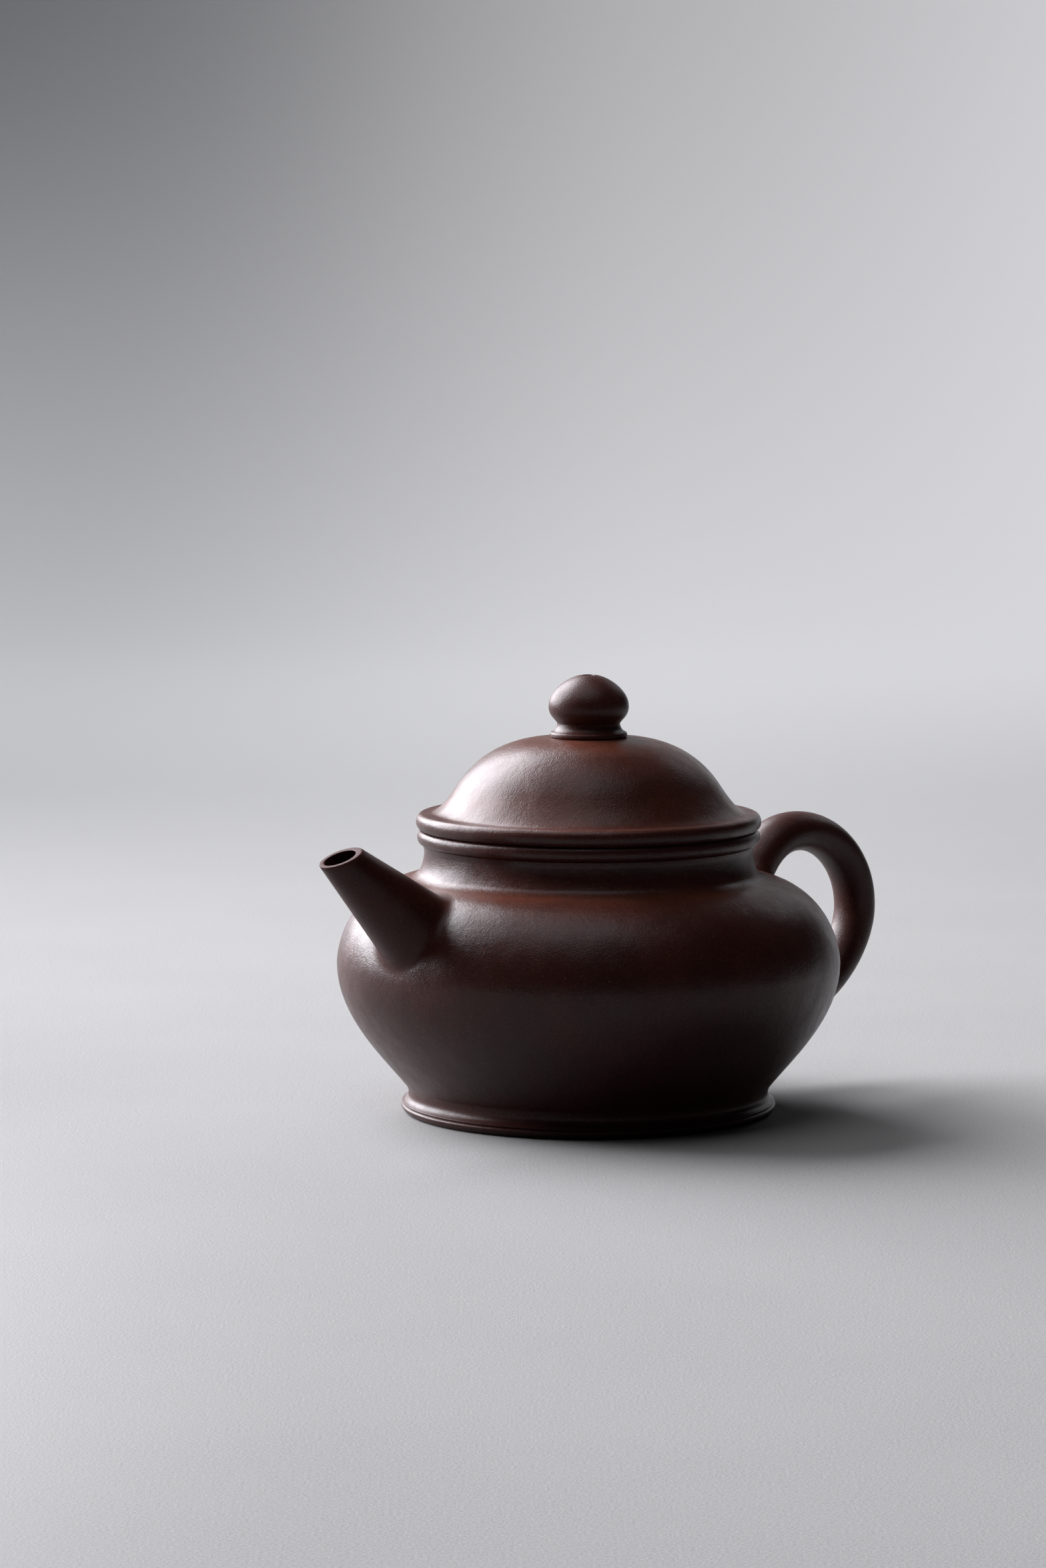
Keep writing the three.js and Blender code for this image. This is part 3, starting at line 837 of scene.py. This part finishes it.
class Finish:
    """A material, and the steps that lay patterns in it."""

    def __init__(self, name):
        self.material = bpy.data.materials.new(name)
        self.material.use_nodes = True
        self.nodes = self.material.node_tree.nodes
        self.links = self.material.node_tree.links
        self.shader = self.nodes["Principled BSDF"]

    def set(self, socket, value):
        if isinstance(value, bpy.types.NodeSocket):
            self.links.new(value, socket)
        elif isinstance(value, tuple) and len(value) == 3 and socket.type == "RGBA":
            socket.default_value = (*value, 1)
        else:
            socket.default_value = value

    def node(self, kind, **values):
        """Adds a node; a value goes to the socket of its name, or else is the node's setting."""
        made = self.nodes.new("ShaderNode" + kind)
        for name, value in values.items():
            if name in made.inputs.keys():
                self.set(made.inputs[name], value)
            else:
                setattr(made, name, value)
        return made

    def sum(self, operation, first, second=0.0, third=0.0):
        """One step of arithmetic with values or numbers."""
        made = self.nodes.new("ShaderNodeMath")
        made.operation = operation
        for socket, value in zip(made.inputs, (first, second, third)):
            self.set(socket, value)
        return made.outputs[0]

    def place(self):
        """Object coordinates in millimetres, with the turning axis at zero."""
        coordinates = self.nodes.new("ShaderNodeTexCoord")
        in_mm = (1 / MM, 1 / MM, 1 / MM)
        mapping = self.node("Mapping", Location=(-AXIS_X / MM, 0, 0), Scale=in_mm)
        self.links.new(coordinates.outputs["Object"], mapping.inputs["Vector"])
        return mapping.outputs[0]

    def noise(self, place, size, detail=2.0, roughness=0.5, distortion=0.0):
        return self.node(
            "TexNoise", Vector=place, Scale=1 / size, Detail=detail, Roughness=roughness,
            Distortion=distortion,
        ).outputs["Fac"]

    def between(self, value, low, high, to_low=0.0, to_high=1.0):
        """A value's smooth climb between two marks."""
        made = self.node("MapRange", Value=value)
        for name, number in (
            ("From Min", low), ("From Max", high), ("To Min", to_low), ("To Max", to_high)
        ):
            made.inputs[name].default_value = number
        made.interpolation_type = "SMOOTHSTEP"
        return made.outputs[0]

    def mix(self, share, first, second):
        """A colour between two others."""
        made = self.nodes.new("ShaderNodeMix")
        made.data_type = "RGBA"
        self.set(made.inputs["Factor"], share)
        self.set(made.inputs[6], first)
        self.set(made.inputs[7], second)
        return made.outputs[2]

    def specks(self, place, spacing, radius, chosen):
        """Round specks of a few sizes, in some of the cells of a loose grid."""
        cells = self.node("TexVoronoi", Vector=place, Scale=1 / spacing)
        dice = self.node("SeparateColor", Color=cells.outputs["Color"])
        reach = self.between(dice.outputs["Red"], 1 - chosen, 1, 0.0, radius / spacing)
        edge = self.sum("SUBTRACT", reach, cells.outputs["Distance"])
        return self.between(edge, 0, 0.25 * radius / spacing)

    def bump(self, height, depth, below=None):
        """A surface raised by a depth in millimetres, over another one."""
        made = self.node("Bump", Height=height, Strength=1.0, Distance=depth * MM)
        if below is not None:
            self.links.new(below, made.inputs["Normal"])
        return made.outputs[0]


CLAY_DEEP = (0.046, 0.0134, 0.0104)
CLAY_BODY = (0.062, 0.0178, 0.0138)
CLAY_WARM = (0.140, 0.0385, 0.0175)
CLAY_LIP = (0.068, 0.0175, 0.0125)
SPECK_ORANGE = (0.27, 0.095, 0.038)
SPECK_PALE = (0.36, 0.30, 0.26)
SPECK_STRENGTH = 0.6
LIP_STRENGTH = 0.6
LIP_DRYNESS = 0.2
GLOSS_RANGE = 0.07
SPECULAR = 0.29
SPECULAR_BURNISHED = 0.22

# where the fired colour turns warmer: the neck's foot, the lid's skirt and the top of the dome
RAMP_HEIGHT = 80.0
WARM_HEIGHTS = (
    (0, 0.05), (3, 0.15), (8, 0.0), (37.5, 0.03), (40.2, 0.22), (41.3, 0.62), (42.2, 0.24),
    (44.5, 0.04), (47, 0.0), (51, 0.0), (53.5, 0.30), (56, 0.45), (60, 0.12), (63.5, 0.22),
    (66, 0.60), (67.5, 0.20), (77, 0.0),
)

# how large the clay's patterns are
CLOUD_SIZE = 14
WARM_PATCH_SIZE = 5
GLOSS_PATCH_SIZE = 3.0
MOTTLE_SIZE = 0.36
WAVE_SIZE = 6.0
WAVE_DEPTH = 0.16
PEEL_SIZE = 1.0
GRAIN_SIZE = 0.27
ORANGE_SPACING, ORANGE_RADIUS = 0.50, 0.115
PALE_SPACING, PALE_RADIUS = 2.6, 0.12

# the wrinkles of a scraped wall: their slant, their length and breadth, the radius at which the
# sheet that they are laid out on is wrapped, how far apart its two wraps take their patterns, and
# how far on either side of the axis one wrap turns into the other
WRINKLE_SLANT = 38
WRINKLE_SIZE = (0.42, 0.25, 1)
WRAP_RADIUS = 40.0
WRAP_SHIFT = 300.0
WRAP_BLEND = 5
INSET_CLIMB = 0.7


def heights_ramp(finish, height, stops):
    """A share that follows the height over the table."""
    ramp = finish.node("ValToRGB", Fac=finish.sum("DIVIDE", height, RAMP_HEIGHT))
    ramp.color_ramp.interpolation = "EASE"
    elements = ramp.color_ramp.elements
    while len(elements) > 1:
        elements.remove(elements[-1])
    for i, (z, share) in enumerate(stops):
        stop = elements[0] if i == 0 else elements.new(z / RAMP_HEIGHT)
        stop.position = z / RAMP_HEIGHT
        stop.color = (share, share, share, 1)
    return ramp.outputs["Color"]


def scraped_grain(finish, place):
    """Short wrinkles that run obliquely round the wall; two wraps hide each other's seam.

    Up the sheet counts the height, and how far the wall has come in from the belly's width.
    """
    axes = finish.node("SeparateXYZ", Vector=place).outputs
    flat = finish.node("CombineXYZ", X=axes["X"], Y=axes["Y"])
    radius = finish.nodes.new("ShaderNodeVectorMath")
    radius.operation = "LENGTH"
    finish.links.new(flat.outputs[0], radius.inputs[0])
    inset = finish.sum("SUBTRACT", BELLY_RADIUS, radius.outputs["Value"])
    side = finish.sum("SIGN", finish.sum("SUBTRACT", axes["Z"], BELLY_HEIGHT))
    climb = finish.sum("MULTIPLY_ADD", finish.sum("MULTIPLY", side, INSET_CLIMB), inset, axes["Z"])
    wraps = []
    for turn in (1, -1):
        x, y = (finish.sum("MULTIPLY", axes[axis], turn) for axis in "XY")
        angle = finish.sum("ARCTAN2", y, x)
        along = finish.sum("MULTIPLY_ADD", angle, WRAP_RADIUS, WRAP_SHIFT * turn)
        sheet = finish.node("CombineXYZ", X=along, Y=climb)
        strokes = finish.node(
            "Mapping", vector_type="TEXTURE", Vector=sheet.outputs[0],
            Rotation=(0, 0, math.radians(WRINKLE_SLANT)), Scale=WRINKLE_SIZE,
        )
        wraps.append(finish.noise(strokes.outputs[0], 1.0, 2, 0.5, 0.25))
    share = finish.between(axes["X"], -WRAP_BLEND, WRAP_BLEND)
    both = finish.nodes.new("ShaderNodeMix")
    finish.set(both.inputs["Factor"], share)
    finish.set(both.inputs[2], wraps[1])
    finish.set(both.inputs[3], wraps[0])
    return both.outputs[0]


def clay_finish(
    name, grain, orange_peel, gloss, specular=SPECULAR, warmth=1.0, wrapped=False, lipped=False
):
    """Unglazed clay: grain and orange peel are bump depths in mm, gloss the lowest roughness."""
    finish = Finish(name)
    place = finish.place()
    height = finish.node("SeparateXYZ", Vector=place).outputs["Z"]

    # colour: cloudy, warmer at some heights, mottled and flecked
    cloud = finish.between(finish.noise(place, CLOUD_SIZE, 2), 0.35, 0.65)
    mottle = finish.noise(place, MOTTLE_SIZE, 3, 0.7)
    colour = finish.mix(cloud, CLAY_DEEP, CLAY_BODY)
    warm = finish.sum(
        "MULTIPLY", heights_ramp(finish, height, WARM_HEIGHTS),
        finish.between(finish.noise(place, WARM_PATCH_SIZE, 3), 0.2, 0.8, 0.55 * warmth, warmth),
    )
    colour = finish.mix(warm, colour, CLAY_WARM)
    shade = finish.between(mottle, 0.3, 0.7, 0.75, 1.25)
    scaled = finish.nodes.new("ShaderNodeVectorMath")
    scaled.operation = "SCALE"
    finish.links.new(colour, scaled.inputs[0])
    finish.links.new(shade, scaled.inputs["Scale"])
    colour = scaled.outputs[0]
    flecks = finish.specks(place, ORANGE_SPACING, ORANGE_RADIUS, 0.7)
    colour = finish.mix(finish.sum("MULTIPLY", flecks, SPECK_STRENGTH), colour, SPECK_ORANGE)
    pale = finish.specks(place, PALE_SPACING, PALE_RADIUS, 0.6)
    colour = finish.mix(finish.sum("MULTIPLY", pale, SPECK_STRENGTH), colour, SPECK_PALE)

    # roughness: a little uneven, and dry on a cut lip
    unevenness = finish.noise(place, GLOSS_PATCH_SIZE, 3)
    rough = finish.between(unevenness, 0.3, 0.7, gloss, gloss + GLOSS_RANGE)
    if lipped:
        lip = finish.node("Attribute", attribute_name="lip").outputs["Fac"]
        colour = finish.mix(finish.sum("MULTIPLY", lip, LIP_STRENGTH), colour, CLAY_LIP)
        rough = finish.sum("MULTIPLY_ADD", lip, LIP_DRYNESS, rough)
    finish.links.new(colour, finish.shader.inputs["Base Color"])
    finish.links.new(rough, finish.shader.inputs["Roughness"])
    finish.shader.inputs["Specular IOR Level"].default_value = specular

    # surface: soft waves, orange peel and fine grain, each over the one before
    soft = finish.bump(finish.noise(place, WAVE_SIZE, 1), WAVE_DEPTH)
    peel = finish.bump(finish.noise(place, PEEL_SIZE, 1), orange_peel, soft)
    wrinkles = scraped_grain(finish, place) if wrapped else finish.noise(place, GRAIN_SIZE)
    fine = finish.bump(wrinkles, grain, peel)
    finish.links.new(fine, finish.shader.inputs["Normal"])
    return finish.material


clay = clay_finish("fired_clay", grain=0.052, orange_peel=0.032, gloss=0.30)
beaten = clay_finish("scraped_clay", grain=0.048, orange_peel=0.036, gloss=0.30, wrapped=True)
turned = clay_finish("turned_clay", grain=0.040, orange_peel=0.015, gloss=0.36, warmth=0.35)
burnished = clay_finish(
    "burnished_clay", grain=0.030, orange_peel=0.020, gloss=0.36, specular=SPECULAR_BURNISHED,
    warmth=0.35, lipped=True,
)

settle(make_foot(), "foot_ring", "pot", turned)
settle(make_base(), "base_plate", "pot", turned)
settle(make_belly(), "belly_wall", "pot", beaten)
settle(make_shoulder(), "shoulder_plate", "pot", beaten)
settle(make_neck(), "neck_ring", "pot", beaten)
settle(make_rim(), "rim_lip", "pot", clay)
settle(make_spout(), "spout", "pot", burnished)
settle(make_strainer(), "strainer", "pot", clay)
settle(make_handle(), "handle", "pot", turned)
settle(make_flange(), "lid_flange", "lid", clay)
settle(make_brim(), "lid_lip", "lid", clay)
settle(make_dome(), "lid_dome", "lid", clay)
settle(make_collar(), "knob_collar", "lid", turned)
settle(make_knob(), "knob", "lid", turned)


# Floor, light and camera

VIEW_TURN = 40.0


def studio(x, y, z):
    """A place given from the camera's side: x to its right, y away from it, from the pot's axis."""
    turn = math.radians(VIEW_TURN)
    return Vector((
        AXIS_X + x * math.cos(turn) + y * math.sin(turn),
        -x * math.sin(turn) + y * math.cos(turn),
        z,
    ))


PAPER_DARK = (0.289, 0.286, 0.281)
PAPER_LIGHT = (0.375, 0.371, 0.364)
# painted light: the floor near the left, lighter
PAPER_NEAR_LEFT_PAINTED_LIGHT = (0.500, 0.496, 0.486)
# painted shade: the backdrop's left, darker than its right
PAPER_BACK_LEFT_PAINTED_SHADE = (0.182, 0.183, 0.180)
PAPER_BACK_RIGHT = (0.262, 0.261, 0.256)
# painted shade: the backdrop's upper left corner, darker still
PAPER_CORNER_PAINTED_SHADE = (0.150, 0.152, 0.152)
PAPER_BOUNCE = (0.09, 0.09, 0.09)


def paper_finish():
    """Matt grey paper with a faint tooth, with painted light near the left of the floor and painted
    shade towards the upper left of the backdrop.
    """
    finish = Finish("grey_paper")
    place = finish.place()
    facing = finish.node("Mapping", Vector=place, Rotation=(0, 0, math.radians(VIEW_TURN)))
    axes = finish.node("SeparateXYZ", Vector=facing.outputs[0])
    across, back, up = (axes.outputs[axis] for axis in "XYZ")
    fibre = finish.noise(facing.outputs[0], 0.5, 4, 0.75)
    sheet = finish.noise(place, 60, 2)
    tone = finish.mix(finish.between(fibre, 0.3, 0.7), PAPER_DARK, PAPER_LIGHT)
    tone = finish.mix(finish.between(sheet, 0.3, 0.7, 0.0, 0.25), tone, PAPER_LIGHT)

    # painted light and shade on the paper by place, in millimetres from the pot as the camera sees
    # it
    # painted light: the floor lighter near the left
    near_left_painted_light = finish.sum(
        "MULTIPLY", finish.between(across, -30, -150), finish.between(back, 50, -250)
    )
    tone = finish.mix(near_left_painted_light, tone, PAPER_NEAR_LEFT_PAINTED_LIGHT)
    # painted shade: the backdrop darker towards its left
    backdrop_painted_shade = finish.mix(
        finish.between(across, -220, 60), PAPER_BACK_LEFT_PAINTED_SHADE, PAPER_BACK_RIGHT
    )
    tone = finish.mix(finish.between(back, 100, 600), tone, backdrop_painted_shade)
    # painted shade: the backdrop darker in its upper left corner
    corner = finish.sum(
        "MULTIPLY", finish.between(across, -40, -300), finish.between(up, 40, 300)
    )
    tone = finish.mix(corner, tone, PAPER_CORNER_PAINTED_SHADE)

    # what it throws back on the pot as diffuse light is darker than what is seen
    rays = finish.nodes.new("ShaderNodeLightPath").outputs
    seen = finish.sum("MAXIMUM", rays["Is Camera Ray"], rays["Is Glossy Ray"])
    seen = finish.sum("MAXIMUM", seen, rays["Is Transmission Ray"])
    tone = finish.mix(seen, PAPER_BOUNCE, tone)
    finish.links.new(tone, finish.shader.inputs["Base Color"])
    finish.shader.inputs["Roughness"].default_value = 0.85
    finish.shader.inputs["Specular IOR Level"].default_value = 0.1
    finish.links.new(finish.bump(fibre, 0.10), finish.shader.inputs["Normal"])
    return finish.material


def make_paper():
    """A paper sweep: a wide floor that curves up into a backdrop, narrower on the right."""
    near, far, top, bend, bend_steps = -2.2, 2.1, 2.6, 1.1, 24
    floor_side, backdrop_right = 2.6, 0.85
    profile = [(near, 0.0), (far - bend, 0.0)]
    for i in range(1, bend_steps + 1):
        turn = math.pi / 2 * i / bend_steps
        profile.append((far - bend + bend * math.sin(turn), bend - bend * math.cos(turn)))
    profile.append((far, top))
    rows = []
    for y, z in profile:
        right = floor_side if z == 0 else backdrop_right
        rows.append([studio(x, y, z) for x in (-floor_side, right)])
    vertices = [p for row in rows for p in row]
    faces = [(2 * i, 2 * i + 1, 2 * i + 3, 2 * i + 2) for i in range(len(rows) - 1)]
    mesh = bpy.data.meshes.new("paper_sweep")
    mesh.from_pydata([tuple(p) for p in vertices], [], faces)
    paper = bpy.data.objects.new("paper_sweep", mesh)
    bpy.context.scene.collection.objects.link(paper)
    smooth(paper, 40)
    paper.data.materials.append(paper_finish())


COOL = (0.942, 0.945, 1.0)


def soft_light(name, place, aim, width, height, power, spread):
    """A soft panel; a grid in front of it narrows its spread, in degrees."""
    deselect()
    bpy.ops.object.light_add(type="AREA", location=place)
    lamp = bpy.context.object
    lamp.name = name
    lamp.data.shape = "RECTANGLE"
    lamp.data.size = width
    lamp.data.size_y = height
    lamp.data.energy = power
    lamp.data.color = COOL
    lamp.data.spread = math.radians(spread)
    lamp.rotation_euler = (aim - place).to_track_quat("-Z", "Y").to_euler()
    return lamp


make_paper()
# lamps and their aim, in metres from the pot as the camera sees it
MIDDLE = studio(0, 0, 0.035)
BACKDROP = studio(0.3, 1.75, 0.35)
soft_light(
    "window_panel", studio(-1.08, 0.845, 0.845), MIDDLE,
    width=1.76, height=1.53, power=52.0, spread=120,
)
soft_light(
    "ceiling_panel", studio(-0.2, -0.15, 1.12), MIDDLE,
    width=1.0, height=0.8, power=2.6, spread=150,
)
soft_light(
    "backdrop_panel", studio(0.75, 1.15, 0.85), BACKDROP,
    width=0.5, height=0.5, power=25.0, spread=180,
)


def set_world():
    """Faint air light on the pot, and a pale grey where the camera sees past the paper."""
    world = bpy.data.worlds.new("studio_air")
    bpy.context.scene.world = world
    world.use_nodes = True
    nodes, links = world.node_tree.nodes, world.node_tree.links
    nodes.clear()
    output = nodes.new("ShaderNodeOutputWorld")
    mix = nodes.new("ShaderNodeMixShader")
    rays = nodes.new("ShaderNodeLightPath")
    air = nodes.new("ShaderNodeBackground")
    air.inputs["Color"].default_value = (0.8, 0.82, 0.86, 1)
    air.inputs["Strength"].default_value = 0.015
    seen = nodes.new("ShaderNodeBackground")
    seen.inputs["Color"].default_value = (0.58, 0.58, 0.6, 1)
    seen.inputs["Strength"].default_value = 1.0
    links.new(rays.outputs["Is Camera Ray"], mix.inputs[0])
    links.new(air.outputs[0], mix.inputs[1])
    links.new(seen.outputs[0], mix.inputs[2])
    links.new(mix.outputs[0], output.inputs["Surface"])


set_world()

bpy.ops.object.camera_add(location=studio(-0.01153, -0.8868, 0.1479))
camera = bpy.context.object
camera.name = "front_camera"
LOOK_DOWN = math.radians(5.8)
look = studio(0, math.cos(LOOK_DOWN), -math.sin(LOOK_DOWN)) - studio(0, 0, 0)
camera.rotation_euler = look.to_track_quat("-Z", "Y").to_euler()
camera.data.lens = 116.4
camera.data.sensor_width = 36
camera.data.clip_start = 0.05
camera.data.clip_end = 20
bpy.context.scene.camera = camera
bpy.context.scene.view_settings.view_transform = "Standard"
